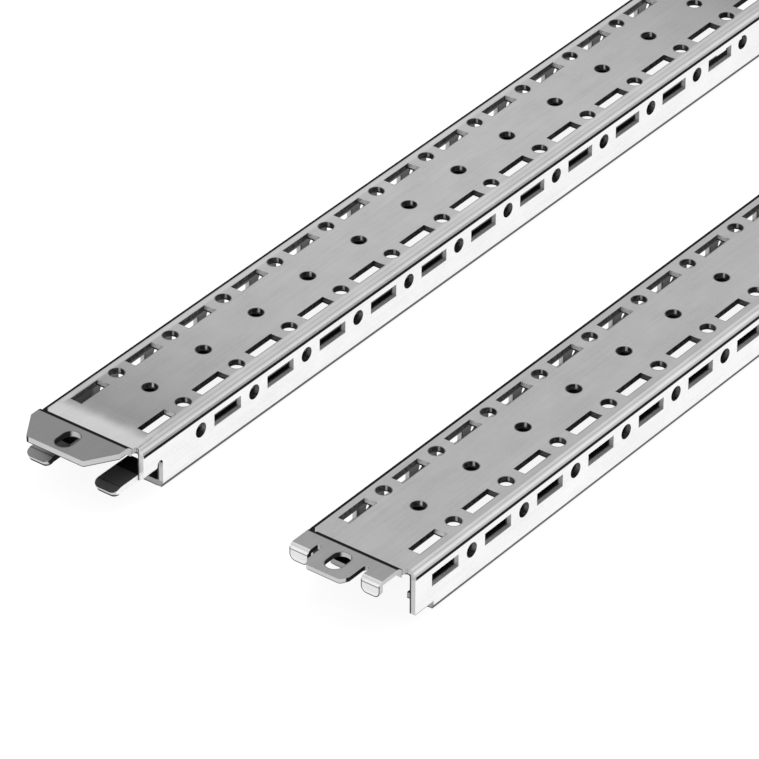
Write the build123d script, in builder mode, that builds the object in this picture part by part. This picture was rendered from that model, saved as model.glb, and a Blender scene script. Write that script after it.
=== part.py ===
from build123d import *
import math
import os

# Rack support rail pair: two punched rails for the mounting levels of a server enclosure.
# Each rail is one blank of zinc-plated steel sheet, punched flat and then folded into an open
# channel. One screw and two hooks or tongues at each end hold it in the enclosure frame.
# Frame: X runs along the rails, Y across the pair and Z up. The origin is on the surface that
# the rails stand on, below the middle of the pair.

# Sheet and folded section, the same for both rails
sheet = 2.0
inside_bend_radius = 0.5
rail_width = 38.0
rail_height = 18.0
lip_reach = 9.6

# Length of the rails and their distance, centre line to centre line
pitch = 25.0
pitches_along = 11
end_margin = 26.5
rail_spacing = 98.4

# Punched pattern, depth measured down from the top face
hole_diameter = 4.8
slot_length = 12.5
slot_width = 4.2
side_row_offset = 12.5
wall_row_depth = 7.2
lip_setback = 8.8
lip_cut_height = 3.0

# Mounting flange, one sheet higher than the top face
step_start = 1.9
step_run = 2.2
flange_half_width = 16.5
flange_slot_length = 8.8
flange_slot_width = 5.8
flange_slot_reach = 11.0
corner_relief_diameter = 2.4

# Flange of the outer level rail, a trapezoid seen from above
taper_start = 7.7
taper_reach = 17.0
taper_front_half_width = 10.6
taper_corner_radius = 1.2

# Flange of the inner level rail, pressed thinner: a centre tongue between two hooks
hooked_sheet = 1.5
hooked_half_width = 16.0
tongue_reach = 18.0
tongue_half_width = 7.4
tongue_front_half_width = 6.0
tongue_chamfer_length = 2.6
tongue_corner_radius = 1.5
hook_gap = 2.0
hook_gap_start = 8.2
hook_reach = 12.7
hook_drop = 5.3
hook_inside_radius = 0.1
hook_corner_radius = 2.0

# Lower tongues of the outer level rail, folded in from the side walls
lower_tongue_depth = 11.3
lower_tongue_inner_edge = 8.4
lower_tongue_reach = 8.0
lower_tongue_rear = 6.4
lower_tip_length = 2.5
lower_tip_angle = 26.0
lower_tip_corner_radius = 2.2
side_relief_width = 2.4

# Lengths that follow from the sizes above
hole_count = pitches_along + 1
body_length = pitches_along * pitch + 2 * end_margin
near_end = -body_length / 2
half_width = rail_width / 2
outside_bend_radius = inside_bend_radius + sheet
middle_bend_radius = inside_bend_radius + sheet / 2
top_middle = rail_height - sheet / 2
flange_middle = top_middle + sheet
wall_row_height = rail_height - wall_row_depth
hook_outside_radius = hook_inside_radius + hooked_sheet
lower_tongue_middle = rail_height - lower_tongue_depth + sheet / 2
lower_bend_line = rail_height - lower_tongue_depth + outside_bend_radius
outer_rail_y = rail_spacing / 2
inner_rail_y = -rail_spacing / 2


def end_view(x, y):
    """Plane across the rail: its first axis is Y from the rail's centre, its second is height."""
    return Plane(origin=(x, y, 0), x_dir=(0, 1, 0), z_dir=(1, 0, 0))


def plan_view(y, z):
    """Plane seen from above, centred on the rail."""
    return Plane(origin=(0, y, z), x_dir=(1, 0, 0), z_dir=(0, 0, 1))


def side_view(y):
    """Plane along the rail: its first axis is X, its second is height."""
    return Plane(origin=(0, y, 0), x_dir=(1, 0, 0), z_dir=(0, -1, 0))


def punched_channel(rail_y, wall_slot_count):
    """Open channel with inward lips, with round holes and slots in its top and side walls."""
    wall_middle = half_width - sheet / 2
    lip_edge = half_width - lip_reach
    with BuildPart() as channel:
        with BuildSketch(end_view(near_end, rail_y)):
            with BuildLine():
                FilletPolyline(
                    (-lip_edge, sheet / 2),
                    (-wall_middle, sheet / 2),
                    (-wall_middle, top_middle),
                    (wall_middle, top_middle),
                    (wall_middle, sheet / 2),
                    (lip_edge, sheet / 2),
                    radius=middle_bend_radius,
                )
            trace(line_width=sheet)
        extrude(amount=body_length)

        with BuildSketch(plan_view(rail_y, rail_height)):
            with GridLocations(pitch, 2 * side_row_offset, hole_count, 2):
                Circle(hole_diameter / 2)
            with GridLocations(pitch, 1, hole_count, 1):
                Circle(hole_diameter / 2)
            with GridLocations(pitch, 2 * side_row_offset, hole_count + 1, 2):
                Rectangle(slot_length, slot_width)
        extrude(amount=-2 * sheet, mode=Mode.SUBTRACT)

        with BuildSketch(side_view(rail_y)):
            with Locations((0, wall_row_height)):
                with GridLocations(pitch, 1, hole_count, 1):
                    Circle(hole_diameter / 2)
                with GridLocations(pitch, 1, wall_slot_count, 1):
                    Rectangle(slot_length, slot_width)
        extrude(amount=rail_width, both=True, mode=Mode.SUBTRACT)
    return channel.part


def stepped_strip(rail_y, reach, half_strip):
    """Strip that leaves the top face, steps up by one sheet and runs out flat past the near end."""
    foot = near_end - step_start
    with BuildPart() as strip:
        with BuildSketch(side_view(rail_y)):
            with BuildLine():
                FilletPolyline(
                    (near_end, top_middle),
                    (foot, top_middle),
                    (foot - step_run, flange_middle),
                    (near_end - reach, flange_middle),
                    radius=middle_bend_radius,
                )
            trace(line_width=sheet)
        extrude(amount=half_strip, both=True)
    return strip.part


def tapered_flange(rail_y):
    """Flange of the outer level rail: the stepped strip trimmed to a trapezoid, with its slot."""
    strip = stepped_strip(rail_y, taper_reach, flange_half_width)
    with BuildPart() as flange:
        add(strip)
        with BuildSketch(plan_view(rail_y, 0)):
            with BuildLine():
                Polyline(
                    (near_end, -flange_half_width),
                    (near_end - taper_start, -flange_half_width),
                    (near_end - taper_reach, -taper_front_half_width),
                    (near_end - taper_reach, taper_front_half_width),
                    (near_end - taper_start, flange_half_width),
                    (near_end, flange_half_width),
                    close=True,
                )
            outline = make_face()
            fillet(outline.vertices().group_by(Axis.X)[0], taper_corner_radius)
        extrude(amount=2 * rail_height, mode=Mode.INTERSECT)
        add(flange_cuts(rail_y, flange_half_width), mode=Mode.SUBTRACT)
    return flange.part


def hooked_flange(rail_y):
    """Flange of the inner level rail: a centre tongue with its slot, between two hooks."""
    hook_inner = tongue_half_width + hook_gap
    hook_width = hooked_half_width - hook_inner
    hook_face_middle = near_end - hook_reach + hooked_sheet / 2
    hook_bottom = rail_height + sheet - hook_drop
    hooked_middle = rail_height + sheet - hooked_sheet / 2
    with BuildPart() as hooks:
        with BuildSketch(side_view(rail_y)):
            with BuildLine():
                FilletPolyline(
                    (near_end - hook_gap_start, hooked_middle),
                    (hook_face_middle, hooked_middle),
                    (hook_face_middle, hook_bottom),
                    radius=hook_inside_radius + hooked_sheet / 2,
                )
            trace(line_width=hooked_sheet)
        extrude(amount=hooked_half_width, both=True)
        with BuildSketch(end_view(near_end - hook_reach, rail_y)):
            with Locations((0, hook_bottom + hook_drop / 2)):
                with GridLocations(hook_inner + hooked_half_width, 1, 2, 1):
                    Rectangle(hook_width, hook_drop)
            fillet(vertices().group_by(Axis.Y)[0], hook_corner_radius)
        extrude(amount=hook_reach, mode=Mode.INTERSECT)
    with BuildPart() as flange:
        add(stepped_strip(rail_y, tongue_reach, tongue_half_width))
        with BuildSketch(plan_view(rail_y, 0)):
            with BuildLine():
                Polyline(
                    (near_end, -tongue_half_width),
                    (near_end - tongue_reach + tongue_chamfer_length, -tongue_half_width),
                    (near_end - tongue_reach, -tongue_front_half_width),
                    (near_end - tongue_reach, tongue_front_half_width),
                    (near_end - tongue_reach + tongue_chamfer_length, tongue_half_width),
                    (near_end, tongue_half_width),
                    close=True,
                )
            outline = make_face()
            fillet(outline.vertices().group_by(Axis.X)[0], tongue_corner_radius)
        extrude(amount=2 * rail_height, mode=Mode.INTERSECT)
        add(stepped_strip(rail_y, hook_reach - hook_outside_radius, hooked_half_width))
        with BuildSketch(side_view(rail_y)):
            with Locations((near_end - tongue_reach, hooked_middle - hooked_sheet / 2)):
                Rectangle(
                    tongue_reach - step_start - step_run, sheet, align=(Align.MIN, Align.MAX)
                )
        extrude(amount=hooked_half_width, both=True, mode=Mode.SUBTRACT)
        add(hooks.part)
        with BuildSketch(plan_view(rail_y, rail_height)):
            with Locations((near_end - (hook_reach + hook_gap_start) / 2, 0)):
                with GridLocations(1, 2 * tongue_half_width + hook_gap, 1, 2):
                    SlotOverall(hook_reach - hook_gap_start, hook_gap)
        extrude(amount=2 * sheet, mode=Mode.SUBTRACT)
        add(flange_cuts(rail_y, hooked_half_width), mode=Mode.SUBTRACT)
    return flange.part


def flange_cuts(rail_y, half_flange):
    """Screw slot of a flange and the two round reliefs beside its root."""
    relief_x = near_end - corner_relief_diameter / 2
    with BuildPart() as cuts:
        with BuildSketch(plan_view(rail_y, rail_height - sheet)):
            with Locations((near_end - flange_slot_reach, 0)):
                SlotOverall(flange_slot_length, flange_slot_width)
            with Locations((relief_x, 0)):
                with GridLocations(1, 2 * half_flange + corner_relief_diameter / 3, 1, 2):
                    Circle(corner_relief_diameter / 2)
        extrude(amount=3 * sheet)
    return cuts.part


def lower_tongue(rail_y, side):
    """Tongue folded in from the bottom of one side wall, with its tip bent down past the end."""
    flat_front = near_end - lower_tongue_reach
    tip_drop = lower_tip_length * math.sin(math.radians(lower_tip_angle))
    tip_run = lower_tip_length * math.cos(math.radians(lower_tip_angle))
    wall_inside = half_width - sheet
    wall_middle = half_width - sheet / 2
    with BuildPart() as blade:
        with BuildSketch(side_view(rail_y + side * lower_tongue_inner_edge)):
            with BuildLine():
                FilletPolyline(
                    (near_end, lower_tongue_middle),
                    (flat_front, lower_tongue_middle),
                    (flat_front - tip_run, lower_tongue_middle - tip_drop),
                    radius=middle_bend_radius,
                )
            trace(line_width=sheet)
        extrude(amount=-side * (wall_inside - lower_tongue_inner_edge))
        tip_corners = blade.edges().filter_by(Axis.Y, reverse=True).sort_by(Axis.X)[:2]
        fillet(tip_corners, lower_tip_corner_radius)
    with BuildPart() as tongue:
        with BuildSketch(end_view(near_end, rail_y)):
            with BuildLine():
                FilletPolyline(
                    (side * lower_tongue_inner_edge, lower_tongue_middle),
                    (side * wall_middle, lower_tongue_middle),
                    (side * wall_middle, lower_bend_line + sheet / 2),
                    radius=middle_bend_radius,
                )
            trace(line_width=sheet)
        extrude(amount=lower_tongue_rear)
        add(blade.part)
    return tongue.part


# Outer level rail: no slot in the walls beyond the last round hole, because the tongues need it
with BuildPart() as outer_level_rail:
    add(punched_channel(outer_rail_y, hole_count - 1))
    with BuildSketch(side_view(outer_rail_y)):
        with Locations((near_end + lip_setback / 2, lower_bend_line / 2)):
            Rectangle(lip_setback, lower_bend_line)
        with Locations((near_end + lip_setback - side_relief_width / 2, lower_bend_line)):
            Circle(side_relief_width / 2)
    lower_cut = extrude(amount=rail_width, both=True, mode=Mode.SUBTRACT)
    mirror(objects=lower_cut, about=Plane.YZ, mode=Mode.SUBTRACT)
    flange = tapered_flange(outer_rail_y)
    tongues = [lower_tongue(outer_rail_y, side) for side in (-1, 1)]
    add([flange] + tongues)
    mirror(objects=[flange] + tongues, about=Plane.YZ)

# Inner level rail: the walls keep their height to the ends, and only the lips stop short
with BuildPart() as inner_level_rail:
    add(punched_channel(inner_rail_y, hole_count + 1))
    with BuildSketch(side_view(inner_rail_y)):
        with Locations((near_end + lip_setback / 2, lip_cut_height / 2)):
            Rectangle(lip_setback, lip_cut_height)
    lip_cut = extrude(amount=rail_width, both=True, mode=Mode.SUBTRACT)
    mirror(objects=lip_cut, about=Plane.YZ, mode=Mode.SUBTRACT)
    flange = hooked_flange(inner_rail_y)
    add(flange)
    mirror(objects=flange, about=Plane.YZ)

outer_level_rail.part.label = "outer_level_rail"
inner_level_rail.part.label = "inner_level_rail"

os.makedirs("parts", exist_ok=True)
export_step(outer_level_rail.part, "parts/outer_level_rail.step")
export_step(inner_level_rail.part, "parts/inner_level_rail.step")
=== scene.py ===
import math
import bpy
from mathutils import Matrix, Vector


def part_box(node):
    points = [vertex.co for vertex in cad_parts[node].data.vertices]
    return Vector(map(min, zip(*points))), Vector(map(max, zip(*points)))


bl_info = {
    "name": "Rack Support Rail Pair",
    "version": (1, 0, 0),
    "blender": (4, 5, 0),
    "location": "3D Viewport > Sidebar > Support Rails",
    "description": "Gives two punched rails their zinc finish and sets them on a pale floor",
    "category": "Object",
}

import bpy
import numpy as np
from mathutils import Matrix, Vector

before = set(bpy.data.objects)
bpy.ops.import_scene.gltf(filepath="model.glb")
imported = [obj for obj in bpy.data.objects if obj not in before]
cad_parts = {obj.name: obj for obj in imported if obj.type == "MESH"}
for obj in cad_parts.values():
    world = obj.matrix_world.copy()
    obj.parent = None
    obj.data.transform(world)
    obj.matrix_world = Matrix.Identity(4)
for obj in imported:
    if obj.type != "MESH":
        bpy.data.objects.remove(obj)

MM = 0.001
OUTER = "outer_level_rail"
INNER = "inner_level_rail"

# Sizes of the solids that the finish follows, in millimetres
SHEET = 2.0
BEND_RADIUS = 2.5
PITCH = 25.0
ROW_OFFSET = 12.5
HOLE_RADIUS = 2.4
SLOT_LENGTH = 12.5
SLOT_WIDTH = 4.2
WALL_ROW_HEIGHT = 10.8
PLAIN_END = 6.0
FIRST_SLOT_END = 20.0
LIP_SETBACK = 8.8
LIP_CUT_HEIGHT = 3.0
STEP_START = 1.9
STEP_END = 4.1
SPLIT_HEIGHT = 12.5
FLANGE_REACH = {OUTER: 17.0, INNER: 18.0}
SCREW_SLOT_PLACE = 11.0
SCREW_SLOT_LENGTH = 8.8
SCREW_SLOT_WIDTH = 5.8
TAPER_TIP_HALF_WIDTH = 10.6
TONGUE_PLACE = 12.5
TONGUE_FOOT = 6.7
TIP_BEND = 7.9
TONGUE_REAR = 6.4
TONGUE_BEND_LINE = 9.2
CENTRE_TIP_HALF_WIDTH = 6.0
GAP_PLACE = 8.4
GAP_START = 8.2
HOOK_PLACE = 12.7
HOOK_HALF_WIDTH = 3.3
HOOK_CORNER = 2.0
HOOK_FOOT = 14.7
HOOK_REACH = 12.7

# Painted light margins along the tops, in millimetres from the middle line
MARGIN_START = 14.2
MARGIN_FULL = 15.6

# Where the outer rail's top changes from painted shade to a painted light band, in millimetres
# before the body's end
BAND_START = 8.8
BAND_FULL = 3.0
BAND_WAVER = 2.5
SWELL_START = 10.5
END_SHADE_START = 5.0
END_SHADE_LENGTH = 40.0

# Shade on the floor under the rails' lips: its middle, half its width, and where it starts
UNDER_PLACE = 11.5
UNDER_HALF_WIDTH = 5.6
UNDER_START = 23.0

# Gap in metres that keeps the floor just clear of the rails
FLOOR_DROP = 0.00005

# How black the painted shade lines are, from 0 to 1
END_STRENGTH = 0.65
RIM_STRENGTH = 0.55
TANGENT_STRENGTH = 0.3
WALL_FOOT_STRENGTH = 0.5


def rail_sizes(node):
    """Middle, half width, top, tip and half the punched body of one rail, in millimetres."""
    low, high = (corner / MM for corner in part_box(node))
    return {
        "middle": (low.y + high.y) / 2,
        "half_width": (high.y - low.y) / 2,
        "top": high.z - SHEET,
        "tip": low.x,
        "body": high.x - FLANGE_REACH[node],
    }


class Signal:
    """One value in a material's nodes, so that shader maths reads as plain arithmetic."""

    def __init__(self, nodes, socket):
        self.nodes = nodes
        self.socket = socket

    def maths(self, operation, *values):
        return self.nodes.add("ShaderNodeMath", {"operation": operation}, dict(enumerate(values)))

    def __add__(self, other):
        return self.maths("ADD", self, other)

    def __radd__(self, other):
        return self.maths("ADD", other, self)

    def __sub__(self, other):
        return self.maths("SUBTRACT", self, other)

    def __rsub__(self, other):
        return self.maths("SUBTRACT", other, self)

    def __mul__(self, other):
        return self.maths("MULTIPLY", self, other)

    def __rmul__(self, other):
        return self.maths("MULTIPLY", other, self)

    def __truediv__(self, other):
        return self.maths("DIVIDE", self, other)

    def __abs__(self):
        return self.maths("ABSOLUTE", self)

    def least(self, other):
        """The smaller of two values."""
        return self.maths("MINIMUM", self, other)

    def most(self, other):
        """The larger of two values."""
        return self.maths("MAXIMUM", self, other)

    def hypotenuse(self, other):
        """Length of the diagonal across two distances at right angles."""
        return self.maths("SQRT", self * self + other * other)

    def to_hole(self):
        """Distance along a rail to the nearest column of round holes, which repeats every pitch."""
        return self.maths("PINGPONG", self + PITCH / 2, PITCH / 2)

    def rise(self, start, end):
        """Goes smoothly from 0 at start to 1 at end, also where end is below start."""
        return self.nodes.add(
            "ShaderNodeMapRange",
            {"interpolation_type": "SMOOTHSTEP"},
            {"Value": self, "From Min": start, "From Max": end},
        )

    def band(self, middle, half, soft):
        """1 within half of the middle, falling to 0 over the soft width outside it."""
        return abs(self - middle).rise(half + soft, half)


class Nodes:
    """The node tree of a material or of the world, with one method that adds any node."""

    def __init__(self, tree):
        self.tree = tree
        tree.nodes.clear()

    def add(self, kind, settings=None, sockets=None, output=0):
        """Adds a node, makes its settings, then sets or links its sockets, and gives an output."""
        node = self.tree.nodes.new(kind)
        for name, value in (settings or {}).items():
            setattr(node, name, value)
        for key, value in (sockets or {}).items():
            if isinstance(value, Signal):
                self.tree.links.new(value.socket, node.inputs[key])
            else:
                node.inputs[key].default_value = value
        return Signal(self, node.outputs[output]) if node.outputs else None

    def tint(self, colour, factor):
        """A colour multiplied by a grey factor."""
        return self.add(
            "ShaderNodeVectorMath", {"operation": "SCALE"}, {"Vector": colour, "Scale": factor}
        )

    def blend(self, factor, first, second):
        """Mixes two colours."""
        return self.add(
            "ShaderNodeMix", {"data_type": "RGBA"}, {0: factor, 6: first, 7: second}, output=2
        )

    def coordinates(self):
        """Object coordinates in millimetres, whole and as x, y and z."""
        place = self.add("ShaderNodeTexCoord", output="Object")
        place = self.add(
            "ShaderNodeVectorMath", {"operation": "SCALE"}, {"Vector": place, "Scale": 1 / MM}
        )
        parts = [self.add("ShaderNodeSeparateXYZ", None, {0: place}, output=k) for k in range(3)]
        return place, parts

    def noise(self, place, stretch, scale, detail=2.0, roughness=0.5, offset=(0.0, 0.0, 0.0)):
        """Noise on millimetre coordinates, stretched along the axes by the given factors."""
        moved = self.add(
            "ShaderNodeMapping",
            None,
            {"Vector": place, "Location": offset, "Scale": tuple(1 / s for s in stretch)},
        )
        return self.add(
            "ShaderNodeTexNoise",
            None,
            {"Vector": moved, "Scale": scale, "Detail": detail, "Roughness": roughness},
        )


def share(name, description, default):
    """Property from 0 to 1."""
    return bpy.props.FloatProperty(
        name=name, description=description, subtype="FACTOR", min=0, max=1, default=default
    )


class Look(bpy.types.PropertyGroup):
    """Finish of the zinc sheet and the shade painted on it, shared by both rails."""

    zinc: bpy.props.FloatVectorProperty(
        name="Zinc colour",
        description="Colour of the bright plated faces",
        subtype="COLOR",
        size=3,
        min=0,
        max=1,
        default=(0.96, 0.96, 0.96),
    )
    # Painted shade: the inside colour darkens the channel, the flanges' undersides and the
    # openings' sheared edges
    inside: bpy.props.FloatVectorProperty(
        name="Inside colour",
        description="Colour of the duller zinc inside the channel",
        subtype="COLOR",
        size=3,
        min=0,
        max=1,
        default=(0.05, 0.05, 0.05),
    )
    cut: bpy.props.FloatVectorProperty(
        name="Cut edge colour",
        description="Colour of the sheared edges of the sheet",
        subtype="COLOR",
        size=3,
        min=0,
        max=1,
        default=(0.6, 0.6, 0.6),
    )
    roughness: share("Roughness", "Roughness of the rolled faces", 0.3)
    grain: bpy.props.FloatProperty(
        name="Grain depth",
        description="Height of the rolling grain",
        subtype="DISTANCE",
        unit="LENGTH",
        min=0,
        max=0.001,
        default=0.00002,
    )
    mottle: share("Mottling", "How much the cloudy patches of the plating differ", 0.1)
    # Strength of the painted shade lines along the bends, feet, step, cut ends and rims
    shade_line_strength: share("Bend marks", "Strength of the dark lines that the tools leave", 1.0)


class Studio(bpy.types.PropertyGroup):
    """Floor, light and camera."""

    floor_radius: bpy.props.FloatProperty(
        name="Floor radius",
        description="Radius of the pale floor",
        subtype="DISTANCE",
        unit="LENGTH",
        min=1,
        default=14.0,
    )
    floor_colour: bpy.props.FloatVectorProperty(
        name="Floor colour",
        description="Colour of the pale floor",
        subtype="COLOR",
        size=3,
        min=0,
        max=1,
        default=(1.0, 1.0, 1.0),
    )
    ceiling: share("Ceiling", "Brightness of the studio overhead, against 1 at the horizon", 0.6)
    lens: bpy.props.FloatProperty(
        name="Lens",
        description="Focal length in millimetres on a 36 mm sensor",
        min=1,
        default=326.27,
    )
    distance: bpy.props.FloatProperty(
        name="Camera distance",
        description="From the camera to the point that it looks at",
        subtype="DISTANCE",
        unit="LENGTH",
        min=0.1,
        default=2.01078,
    )
    azimuth: bpy.props.FloatProperty(
        name="Azimuth",
        description="Turn of the camera round the rails, from the front towards their far end",
        subtype="ANGLE",
        unit="ROTATION",
        default=math.radians(-52.68),
    )
    elevation: bpy.props.FloatProperty(
        name="Elevation",
        description="Height of the camera above the horizon",
        subtype="ANGLE",
        unit="ROTATION",
        default=math.radians(34.02),
    )
    roll: bpy.props.FloatProperty(
        name="Roll",
        description="Turn of the camera about its own axis",
        subtype="ANGLE",
        unit="ROTATION",
        default=math.radians(0.2),
    )
    aim: bpy.props.FloatVectorProperty(
        name="Aim",
        description="Point that the camera looks at, from the outer rail's tip at top height",
        subtype="XYZ",
        unit="LENGTH",
        size=3,
        default=(0.08766, -0.00138, 0.0),
    )


class Spot:
    """Where a shaded point lies on its rail, in millimetres, and which part of the rail that is.

    The two ends of a rail mirror each other, so a place along it is measured as past, from the end
    of the punched body outwards. out is the distance to either side of the rail's middle line. nx,
    ny and nz say how squarely the surface faces along each axis. The parts are masks, 1 on the part
    and 0 elsewhere.
    """

    def __init__(self, nodes, rail):
        self.place, (x, y, z) = nodes.coordinates()
        normal = nodes.add("ShaderNodeTexCoord", output="Normal")
        self.facing = [
            nodes.add("ShaderNodeSeparateXYZ", None, {0: normal}, output=axis) for axis in range(3)
        ]
        nx, ny, nz = (abs(part) for part in self.facing)
        past = abs(x) - rail["body"]
        side = y - rail["middle"]
        out = abs(side)
        top, inner_face = rail["top"], rail["half_width"] - SHEET
        self.z, self.past, self.side, self.out = z, past, side, out
        self.nx, self.ny, self.nz = nx, ny, nz
        self.top, self.inner_face = top, inner_face
        self.to_hole = x.to_hole()

        # Faces that stand upright and faces that lie level
        self.upright = nz.rise(0.7, 0.5)
        self.level = nz.rise(0.9, 0.97)
        # Parts of the rail by their place
        self.body = past.rise(0.5, 0.1)
        self.before_step = past.rise(STEP_START, STEP_START - 0.3)
        self.punched = past.rise(-PLAIN_END, -PLAIN_END - 0.5)
        self.at_hole = self.to_hole.rise(HOLE_RADIUS + 0.9, HOLE_RADIUS + 0.5) * self.punched
        in_wall = out.rise(inner_face - 0.15, inner_face + 0.15)
        self.flat = z.rise(top - SHEET - 0.15, top - SHEET + 0.15) * (1.0 - in_wall)
        self.wall = in_wall * z.rise(top - BEND_RADIUS + 0.2, top - BEND_RADIUS - 0.2) * self.body
        self.tongue = past.rise(0.0, 0.3) * z.rise(SPLIT_HEIGHT + 0.5, SPLIT_HEIGHT - 0.5)
        self.cut_end = nx.rise(0.7, 0.9) * self.body
        self.lip_end = self.cut_end * z.rise(SHEET + 0.3, SHEET)

        # Inner and outer faces, and the sheared edges between them
        channel = out.rise(inner_face + 0.7, inner_face + 0.3) * self.body * (1.0 - self.lip_end)
        channel = channel * z.rise(top - SHEET + 0.7, top - SHEET + 0.3)
        flange = past.rise(0.0, 0.3) * z.rise(SPLIT_HEIGHT - 0.5, SPLIT_HEIGHT + 0.5)
        self.inside = channel.most(flange * self.facing[2].rise(-0.3, -0.6))
        self.outside = out.rise(inner_face - 0.4, inner_face) * (1.0 - self.inside) * self.body
        sheared = (self.flat + self.tongue) * self.upright + self.wall * ny.rise(0.7, 0.5)
        self.edge = (sheared + self.cut_end * (1.0 - self.inside)).least(1.0)
        self.slot_end = self.flat * nx.rise(0.85, 0.95) * self.punched * (1.0 - self.at_hole)


def grey_of(level):
    """Opaque grey of one level."""
    return (level, level, level, 1.0)


def rims(spot):
    """Painted shade on rolled rims round the punched holes, and on the slots' sides that face -y.
    """
    out, to_hole = spot.out, spot.to_hole
    from_row = abs(out - ROW_OFFSET)
    from_slot = (PITCH / 2 - SLOT_LENGTH / 2 - to_hole).most(from_row - SLOT_WIDTH / 2)
    from_hole = to_hole.hypotenuse(out.least(from_row)) - HOLE_RADIUS
    from_row_middle = spot.side - ROW_OFFSET * (2.0 * spot.side.rise(-1.0, 1.0) - 1.0)
    rim = from_slot.rise(0.36, 0.14) * from_row_middle.rise(0.0, -2.0) + from_hole.rise(0.36, 0.14)
    return rim.least(1.0) * spot.flat * spot.level * spot.punched


def painted_shade_lines(spot, look, tone):
    """Painted shade lines along the bends, the foot, the step and the cut ends."""
    z, past, out, side = spot.z, spot.past, spot.out, spot.side
    top, inner_face = spot.top, spot.inner_face
    bend_foot = top - BEND_RADIUS
    # Painted shade along the near bend's foot
    near_bend = z.band(bend_foot - 0.1, 0.48, 0.18) * side.rise(1.0, 0.0)
    near_bend = near_bend * past.rise(0.2, -0.6) * spot.outside
    # Painted shade: a black band on the far bend, where it turns away from the front
    far_bend = side.rise(inner_face - 0.4, inner_face - 0.2) * spot.ny.rise(0.82, 0.78)
    far_bend = far_bend * z.rise(bend_foot + 0.1, bend_foot + 0.3) * spot.body
    # Painted shade along the lips' and walls' feet, the cut ends, the bend tangents, the step and
    # the slots' ends
    lip_foot = z.rise(1.5, 1.2)
    wall_foot = z.rise(LIP_CUT_HEIGHT + 0.4, LIP_CUT_HEIGHT + 0.2) * WALL_FOOT_STRENGTH
    wall_foot = wall_foot * past.rise(-LIP_SETBACK, -LIP_SETBACK + 0.4)
    foot = lip_foot.most(wall_foot) * spot.outside * spot.nx.rise(0.8, 0.5)
    wall_end = spot.wall * past.rise(-0.6, -0.3) * out.rise(inner_face + 0.5, inner_face + 0.3)
    end = spot.nx.rise(0.9, 0.97) * wall_end.most(z.rise(0.5, 0.3) * spot.body)
    tangent = out.band(inner_face - 0.55, 0.08, 0.12) * TANGENT_STRENGTH * tone.margin
    tangent = tangent * spot.flat * spot.body
    step_foot = past.band(STEP_START, 0.7, 0.12) * z.rise(top - 0.6, top - 0.3)
    step_head = past.rise(STEP_START + 0.6, STEP_START + 0.9) * z.rise(top + 1.0, top + 1.3)
    step_head = step_head * past.rise(STEP_END + 0.9, STEP_END + 0.7) * spot.nx.rise(0.06, 0.14)
    step = step_foot.most(step_head) * spot.nz.rise(0.3, 0.5)
    slot_line = spot.slot_end * z.rise(top - SHEET + 0.5, top - SHEET + 0.3)
    lines = near_bend.most(foot).most(step).most(end * END_STRENGTH).most(tangent)
    lines = lines.most(rims(spot) * RIM_STRENGTH).most(slot_line)
    return (lines * look.shade_line_strength).most(far_bend)


def face_light_and_shade(spot, tone, cloud):
    """Painted light and shade: darker between the punched rows, on the flanges and the bends."""
    past, z, top = spot.past, spot.z, spot.top
    # Painted highlights at the top's ends and beside its slots, and painted shade that deepens
    # towards the ends between them
    band = (past + (cloud - 0.5) * BAND_WAVER).rise(-BAND_START, -BAND_FULL) * tone.band
    margin = (spot.out.rise(MARGIN_START, MARGIN_FULL) * tone.margin).most(band)
    from_end = (past.least(-END_SHADE_START) + END_SHADE_START) / END_SHADE_LENGTH
    end_shade = from_end.maths("EXPONENT", from_end) * tone.end_shade
    upper = spot.flat * spot.nz.rise(0.6, 0.85)
    light = 1.0 - upper * (
        spot.before_step * (1.0 - margin) * (1.0 - tone.top + end_shade)
        + (1.0 - spot.before_step) * (1.0 - tone.flange)
    )
    # Painted shade on a bend: a darker stripe near the top, and darker towards its foot
    bend = z.rise(top - BEND_RADIUS - 0.1, top - BEND_RADIUS + 0.2) * spot.outside
    bend_light = 1.0 - z.band(top - 0.45, 0.05, 0.15) * 0.2 - z.rise(top - 0.85, top - 1.7) * 0.5
    bend_dark = bend * (1.0 - tone.bend * bend_light)
    return light * (1.0 - (spot.wall * (1.0 - tone.wall)).most(bend_dark))


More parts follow.
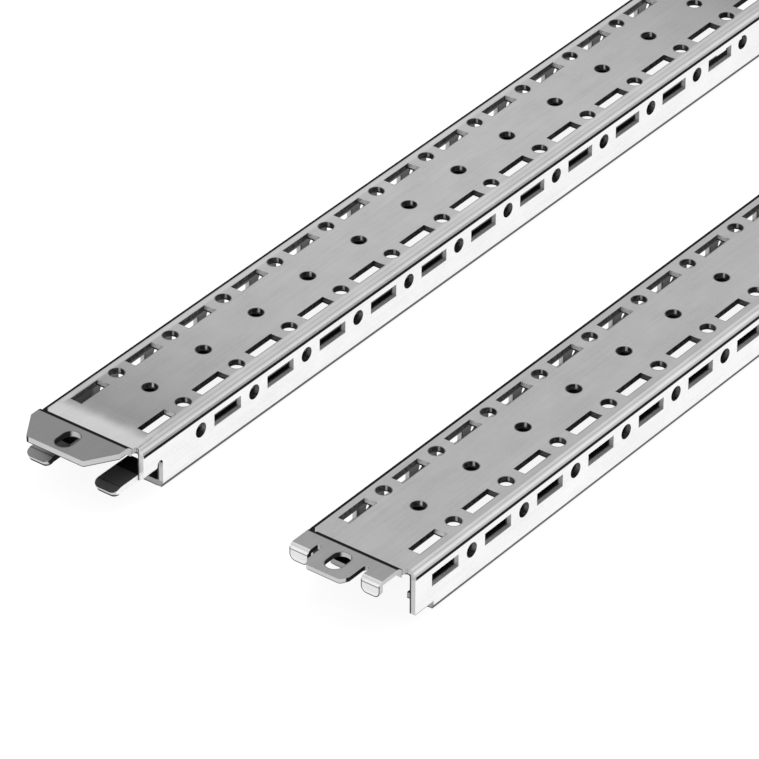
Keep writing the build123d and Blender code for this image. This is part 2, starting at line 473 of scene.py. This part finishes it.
def zinc_colour(nodes, spot, look, light, shade, speck):
    """Colour of the zinc, the openings' sheared edges and the inside, with painted light and shade.
    """
    past, z, nx, ny = spot.past, spot.z, spot.nx, spot.ny
    inside = tuple(look.inside)
    colour = nodes.tint(tuple(look.zinc), shade * light)
    colour = nodes.blend(spot.edge, colour, nodes.tint(tuple(look.cut), shade))
    # Painted shade on the sheared edges in the holes and along the slots' long sides
    dark_edge = spot.edge * spot.body * spot.at_hole.most(spot.flat * ny.rise(0.5, 0.7))
    colour = nodes.blend(dark_edge, colour, nodes.tint(inside, speck.rise(0.35, 0.8) * 2.0 + 0.4))
    # Streak of light down one side of each round hole
    diagonal = (spot.facing[0] * spot.facing[1]).band(0.28, 0.08, 0.06)
    streak = spot.flat * diagonal * nx.rise(0.7, 0.8) * 0.8 + spot.wall * nx.rise(0.6, 0.95) * 0.25
    colour = nodes.blend(spot.edge * spot.at_hole * streak, colour, grey_of(0.8))
    # The ends of the far row's slots catch the light, and so does that of the near row's first slot
    up_to_first_slot = past.rise(-FIRST_SLOT_END - 2.0, -FIRST_SLOT_END)
    in_light = spot.side.rise(-1.0, 1.0).most(up_to_first_slot * 0.8)
    colour = nodes.blend(spot.slot_end, colour, nodes.tint((0.9, 0.9, 0.9), in_light * 0.9 + 0.1))
    # Light from the walls' slots falls on the walls' inner faces, further in than the first slot
    strip = z.band(WALL_ROW_HEIGHT + 0.7, 2.5, 1.0) * (1.0 - up_to_first_slot)
    lit = 1.0 + ny.rise(0.8, 0.95) * (strip * 2.4 + 0.5)
    # Painted shade inside the channel and under the flanges, lifted where the painted light falls
    colour = nodes.blend(spot.inside, colour, nodes.tint(inside, shade * lit))
    return nodes.blend(spot.lip_end, colour, grey_of(0.35))


def zinc(name, node, look, tone, marks):
    """Zinc plated steel: rolling grain, cloudy plating, sheared edges, painted light and shade."""
    material = bpy.data.materials.new(name)
    material.use_nodes = True
    nodes = Nodes(material.node_tree)
    spot = Spot(nodes, rail_sizes(node))
    grain = nodes.noise(spot.place, (30.0, 1.0, 1.0), 1.1, detail=1.5)
    cloud = nodes.noise(
        spot.place, (1.6, 1.0, 1.0), 0.11, detail=4.0, roughness=0.6, offset=(3.0, 7.0, 0.0)
    )
    speck = nodes.noise(spot.place, (1.0, 1.0, 1.0), 0.9, detail=1.0)
    shade = 1.0 + (grain - 0.5) * 0.12 + (cloud - 0.5) * look.mottle * 2.0 + (speck - 0.5) * 0.05

    colour = zinc_colour(nodes, spot, look, face_light_and_shade(spot, tone, cloud), shade, speck)
    # Painted shade lines mix the plating towards matt black, and the marks paint greys of light and
    # shade
    black_shade = painted_shade_lines(spot, look, tone)
    for mark, grey in marks(spot):
        if grey is None:
            black_shade = black_shade.most(mark)
        else:
            colour = nodes.blend(mark, colour, grey_of(grey))
    metal = 1.0 - spot.edge * 0.4 - spot.tongue * spot.facing[2].rise(0.7, 0.9) * 0.7
    rough = look.roughness + (cloud - 0.5) * 0.16 + (grain - 0.5) * 0.1 + spot.edge * 0.2
    into_band = spot.past + SWELL_START
    swell = into_band.maths("SMOOTH_MAX", into_band, 0.0, 2.5) * spot.flat * tone.swell * MM
    swollen = nodes.add("ShaderNodeBump", None, {"Height": swell, "Distance": 1.0, "Strength": 1.0})
    rolled = nodes.add(
        "ShaderNodeBump",
        None,
        {"Height": grain, "Distance": look.grain, "Strength": 0.4, "Normal": swollen},
    )
    plated = nodes.add(
        "ShaderNodeBsdfPrincipled",
        None,
        {"Base Color": colour, "Metallic": metal, "Roughness": rough, "Normal": rolled},
    )
    matt = nodes.add("ShaderNodeBsdfDiffuse", None, {"Color": grey_of(0.02)})
    shader = nodes.add("ShaderNodeMixShader", None, {0: black_shade, 1: plated, 2: matt})
    nodes.add("ShaderNodeOutputMaterial", None, {"Surface": shader})
    return material


def screw_slot_shade(spot):
    """Painted shade on a screw slot's long sides, which lie in the flange's shade, and its rolled
    rim.

    Like the two functions below, it gives masks with the grey that each one paints, or None where
    the mark is matt black.
    """
    along = abs(spot.past - SCREW_SLOT_PLACE) - (SCREW_SLOT_LENGTH - SCREW_SLOT_WIDTH) / 2
    to_rim = along.most(0.0).hypotenuse(spot.side) - SCREW_SLOT_WIDTH / 2
    near = to_rim.rise(0.5, 0.3) * spot.past.rise(STEP_END + 0.9, STEP_END + 1.4)
    near = near * spot.z.rise(spot.top - 0.5, spot.top - 0.1)
    yield near * spot.ny.rise(0.45, 0.75) * spot.upright, None
    yield near * to_rim.rise(0.34, 0.16) * spot.level * 0.5, None


def tongue_light_and_shade(spot):
    """Painted light and shade on the tongues, the foot of the tapered flange's edge and the walls'
    ends.
    """
    z, past, side, out, tongue = spot.z, spot.past, spot.side, spot.out, spot.tongue
    top, inner_face = spot.top, spot.inner_face
    upper_face = tongue * spot.nz.rise(0.5, 0.8)
    # Painted shade on the tongues' upper faces, deepest on the near tongue
    yield upper_face, 0.35
    yield upper_face * side.rise(1.0, -1.0), 0.1
    # Painted shade along the bend of the tongues' tips
    yield tongue * spot.nz.rise(0.85, 0.95) * past.band(TIP_BEND, 0.12, 0.1) * 0.75, None
    tongue_edge = tongue * spot.upright
    long_side = tongue_edge * spot.ny.rise(0.7, 0.9)
    # Painted light on the tongues' outer long sides, painted shade on their inner ones and low ends
    yield long_side * out.rise(TONGUE_PLACE + 0.5, TONGUE_PLACE + 1.5), 0.95
    yield long_side * out.rise(TONGUE_PLACE - 0.5, TONGUE_PLACE - 1.5), None
    yield tongue_edge * spot.nx.rise(0.2, 0.4) * z.rise(TONGUE_FOOT, TONGUE_FOOT - 0.3), None
    flange_edge = past.rise(STEP_END + 0.4, STEP_END + 0.9) * spot.upright
    flange_edge = flange_edge * z.rise(top - 0.5, top - 0.2)
    # Painted shade at the foot of the flange's edge and at its far corner
    yield flange_edge * z.rise(top + 0.35, top + 0.2) * 0.9, None
    far_corner = side.rise(TAPER_TIP_HALF_WIDTH - 1.0, TAPER_TIP_HALF_WIDTH - 0.7)
    far_corner = far_corner * past.rise(FLANGE_REACH[OUTER] - 2.0, FLANGE_REACH[OUTER] - 1.5)
    yield flange_edge * far_corner, None
    in_wall = out.rise(inner_face - 0.1, inner_face + 0.1)
    wall_end = spot.nx.rise(0.85, 0.95) * in_wall * past.rise(-0.6, -0.3) * past.rise(0.6, 0.3)
    # The walls' cut ends in light grey, with a painted dark line on their inner side
    yield wall_end, 0.95
    yield wall_end * out.rise(inner_face + 0.5, inner_face + 0.3) * 0.8, None
    relief = past.rise(-LIP_SETBACK - 0.4, -LIP_SETBACK) * in_wall * spot.ny.rise(0.7, 0.5)
    relief = relief * past.rise(-TONGUE_REAR + 0.9, -TONGUE_REAR + 0.4)
    # Painted shade on the relief's cut faces above the lips
    yield relief * z.band(TONGUE_BEND_LINE + 0.6, 0.8, 0.3), None
    yield from screw_slot_shade(spot)


def hook_light_and_shade(spot):
    """Hooks: painted highlights on the bends, front faces with painted dark outlines, painted shade
    in the gaps.
    """
    z, past, side, out, top = spot.z, spot.past, spot.side, spot.out, spot.top
    inner_side = HOOK_PLACE - HOOK_HALF_WIDTH
    hook = past.rise(GAP_START - 0.2, GAP_START + 0.1)
    hook = hook * out.rise(inner_side - 0.8, inner_side - 0.5)
    front = hook * spot.nx.rise(0.9, 0.97) * past.rise(HOOK_REACH - 0.5, HOOK_REACH - 0.3)
    beside = (abs(out - HOOK_PLACE) - (HOOK_HALF_WIDTH - HOOK_CORNER)).most(0.0)
    from_corner = beside.hypotenuse((HOOK_FOOT + HOOK_CORNER - z).most(0.0))
    gap_side = out.band(GAP_PLACE + 0.2, 1.6, 0.2) * spot.ny.rise(0.6, 0.8)
    # Painted shade on the sides of the gaps beside the hooks
    yield gap_side * past.rise(STEP_END + 0.5, STEP_END + 1.1), None
    yield front, 0.72
    # Painted highlight on the hooks' bends
    yield hook * past.rise(HOOK_REACH - 1.8, HOOK_REACH - 1.3) * spot.nx.band(0.6, 0.34, 0.1), 0.97
    # Painted shade lines across the front faces' tops and round their lower corners
    yield front * z.band(top + 0.3, 0.1, 0.1) * 0.85, None
    yield front * from_corner.rise(HOOK_CORNER - 0.4, HOOK_CORNER - 0.2), None
    tongue_edge = past.rise(HOOK_REACH + 0.2, HOOK_REACH + 0.5) * z.rise(top + 0.2, top + 0.4)
    tongue_edge = tongue_edge * spot.upright
    # Painted shade at the foot of the centre tongue's edge and at its far corner
    yield tongue_edge * z.rise(top + 0.8, top + 0.65) * 0.9, None
    far_corner = side.rise(CENTRE_TIP_HALF_WIDTH - 0.2, CENTRE_TIP_HALF_WIDTH + 0.2)
    far_corner = far_corner * past.rise(FLANGE_REACH[INNER] - 4.0, FLANGE_REACH[INNER] - 3.6)
    yield tongue_edge * far_corner, None
    yield from screw_slot_shade(spot)


def dress(node, material):
    """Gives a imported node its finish."""
    piece = bpy.data.objects[node]
    piece.data.materials.clear()
    piece.data.materials.append(material)


class RAILS_OT_outer(bpy.types.Operator):
    """Finish the outer rail, with its tapered flange, and paint its light and shade"""

    bl_idname = "rails.outer"
    bl_label = "Outer Rail"

    # Levels of the light and shade painted into this rail's colour
    top: share("Top", "Brightness of the top between the margins", 0.77)
    end_shade: share("Dulling", "How much darker the top gets towards the light bands at the ends", 0.36)
    band: share("End band", "How much of full brightness the light band at each end regains", 0.72)
    margin: share("Margin", "How much of full brightness the margins beside the slots regain", 0.62)
    flange: share("Flange", "Brightness of the flanges", 0.33)
    wall: share("Wall", "Brightness of the walls", 0.92)
    bend: share("Bend", "Brightness of the bends between top and walls", 0.93)
    swell: share("Swell", "Slope by which the light bands turn towards the ends", 0.12)

    def execute(self, context):
        dress(OUTER, zinc("outer_rail_zinc", OUTER, context.scene.rail_look, self, tongue_light_and_shade))
        return {"FINISHED"}


class RAILS_OT_inner(bpy.types.Operator):
    """Finish the inner rail, with its hooked flange, and paint its light and shade"""

    bl_idname = "rails.inner"
    bl_label = "Inner Rail"

    # Levels of the light and shade painted into this rail's colour
    top: share("Top", "Brightness of the top between the margins", 0.7)
    end_shade: share("Dulling", "How much darker the top gets towards the ends", 0.0)
    band: share("End band", "How much of full brightness a light band at each end regains", 0.0)
    margin: share("Margin", "How much of full brightness the margins beside the slots regain", 0.0)
    flange: share("Flange", "Brightness of the flanges", 0.52)
    wall: share("Wall", "Brightness of the walls", 0.92)
    bend: share("Bend", "Brightness of the bends between top and walls", 1.0)
    swell: share("Swell", "Slope by which the ends of the top turn", 0.0)

    def execute(self, context):
        dress(INNER, zinc("inner_rail_zinc", INNER, context.scene.rail_look, self, hook_light_and_shade))
        return {"FINISHED"}


def disc(radius, rings, turns):
    """Flat disc: x = r cos t and y = r sin t, where r grows with the ring's number squared."""
    r = radius * (np.arange(1, rings + 1) / rings) ** 2
    t = np.arange(turns) * 2 * math.pi / turns
    grid = np.stack(
        [np.outer(r, np.cos(t)), np.outer(r, np.sin(t)), np.zeros((rings, turns))], axis=-1
    )
    points = np.vstack([np.zeros((1, 3)), grid.reshape(-1, 3)])
    ring, turn = np.meshgrid(np.arange(rings - 1) * turns, np.arange(turns), indexing="ij")
    after = (turn + 1) % turns
    outer_ring = ring + turns
    quads = np.stack(
        [ring + turn, outer_ring + turn, outer_ring + after, ring + after], axis=-1
    )
    first = np.arange(turns)
    centre = np.stack([np.zeros(turns, int), first + 1, (first + 1) % turns + 1], axis=-1)
    return points, (quads.reshape(-1, 4) + 1).tolist() + centre.tolist()


def world_light(context, studio):
    """Studio all round: white at the horizon, greyer overhead."""
    world = bpy.data.worlds.new("studio")
    context.scene.world = world
    world.use_nodes = True
    nodes = Nodes(world.node_tree)
    direction = nodes.add("ShaderNodeTexCoord", output="Generated")
    height = nodes.add("ShaderNodeSeparateXYZ", None, {0: direction}, output=2)
    overhead = height.rise(0.1, 0.6)
    level = 1.0 - overhead * (1.0 - studio.ceiling)
    sky = nodes.add("ShaderNodeBackground", None, {"Color": grey_of(1.0), "Strength": level})
    nodes.add("ShaderNodeOutputWorld", None, {"Surface": sky})


def pale_floor(studio):
    """Large pale floor that glows a little, so that it stays white, and takes a faint shadow.

    A shadow is painted on it where the rails' feet touch it, and under their channels.
    """
    points, faces = disc(studio.floor_radius, 24, 64)
    mesh = bpy.data.meshes.new("floor")
    mesh.from_pydata(points.tolist(), [], faces)
    floor = bpy.data.objects.new("floor", mesh)
    floor.location.z = -FLOOR_DROP
    bpy.context.collection.objects.link(floor)
    material = bpy.data.materials.new("pale_floor")
    material.use_nodes = True
    nodes = Nodes(material.node_tree)
    x, y, z = nodes.coordinates()[1]
    rail = rail_sizes(OUTER)
    out = abs(abs(y) - rail["middle"])
    past = abs(x) - rail["body"]
    inner_face = rail["half_width"] - SHEET
    # Painted shadow: the floor's glow is dimmed along the rails' feet and under their lips
    foot = out.band(inner_face + 0.7, 0.4, 0.3) * past.rise(-LIP_SETBACK, -LIP_SETBACK - 0.4)
    under = out.band(UNDER_PLACE, UNDER_HALF_WIDTH, 0.6)
    under = under * past.rise(-UNDER_START, -UNDER_START - 1.0)
    colour = nodes.tint(tuple(studio.floor_colour), 1.0 - foot.most(under) * 0.9)
    shader = nodes.add(
        "ShaderNodeBsdfPrincipled",
        None,
        {
            "Base Color": grey_of(0.2),
            "Roughness": 0.9,
            "Specular IOR Level": 0.0,
            "Emission Color": colour,
            "Emission Strength": 0.9,
        },
    )
    nodes.add("ShaderNodeOutputMaterial", None, {"Surface": shader})
    mesh.materials.append(material)


def soft_lamp(name, place, target, size, watts):
    """Large square area lamp that faces a point."""
    lamp = bpy.data.lights.new(name, "AREA")
    lamp.shape = "SQUARE"
    lamp.size = size
    lamp.energy = watts
    holder = bpy.data.objects.new(name, lamp)
    holder.location = place
    holder.rotation_euler = (Vector(target) - Vector(place)).to_track_quat("-Z", "Y").to_euler()
    bpy.context.collection.objects.link(holder)


def camera(context, studio):
    """Camera at the photograph's angle, aimed at a point on the rails' tops."""
    rail = rail_sizes(OUTER)
    target = Vector((rail["tip"], 0.0, rail["top"])) * MM + Vector(studio.aim)
    back = Vector(
        (
            math.sin(studio.azimuth) * math.cos(studio.elevation),
            -math.cos(studio.azimuth) * math.cos(studio.elevation),
            math.sin(studio.elevation),
        )
    )
    lens = bpy.data.cameras.new("camera")
    lens.lens = studio.lens
    lens.sensor_width = 36.0
    lens.clip_start = 0.01
    lens.clip_end = 100.0
    holder = bpy.data.objects.new("camera", lens)
    turn = (-back).to_track_quat("-Z", "Y").to_matrix() @ Matrix.Rotation(studio.roll, 3, "Z")
    holder.matrix_world = Matrix.Translation(target + back * studio.distance) @ turn.to_4x4()
    context.collection.objects.link(holder)
    context.scene.camera = holder


class RAILS_OT_studio(bpy.types.Operator):
    """Set the floor, the light and the camera"""

    bl_idname = "rails.studio"
    bl_label = "Studio"

    def execute(self, context):
        studio = context.scene.rail_studio
        world_light(context, studio)
        pale_floor(studio)
        soft_lamp("soft_lamp", (0.0, 0.0, 2.0), (0.0, 0.0, 0.0), 1.5, 6.0)
        camera(context, studio)
        return {"FINISHED"}


class RAILS_PT_panel(bpy.types.Panel):
    bl_idname = "RAILS_PT_panel"
    bl_label = "Support Rails"
    bl_space_type = "VIEW_3D"
    bl_region_type = "UI"
    bl_category = "Support Rails"

    def draw(self, context):
        look = context.scene.rail_look
        for name in Look.__annotations__:
            self.layout.prop(look, name)
        self.layout.operator(RAILS_OT_outer.bl_idname)
        self.layout.operator(RAILS_OT_inner.bl_idname)
        studio = context.scene.rail_studio
        for name in Studio.__annotations__:
            self.layout.prop(studio, name)
        self.layout.operator(RAILS_OT_studio.bl_idname)


CLASSES = (Look, Studio, RAILS_OT_outer, RAILS_OT_inner, RAILS_OT_studio, RAILS_PT_panel)


def register():
    for cls in CLASSES:
        bpy.utils.register_class(cls)
    bpy.types.Scene.rail_look = bpy.props.PointerProperty(type=Look)
    bpy.types.Scene.rail_studio = bpy.props.PointerProperty(type=Studio)


def unregister():
    del bpy.types.Scene.rail_studio
    del bpy.types.Scene.rail_look
    for cls in reversed(CLASSES):
        bpy.utils.unregister_class(cls)


def main():
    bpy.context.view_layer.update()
    register()
    bpy.ops.rails.outer()
    bpy.ops.rails.inner()
    bpy.ops.rails.studio()
    bpy.context.scene.view_settings.view_transform = "Standard"


if __name__ == "__main__":
    main()
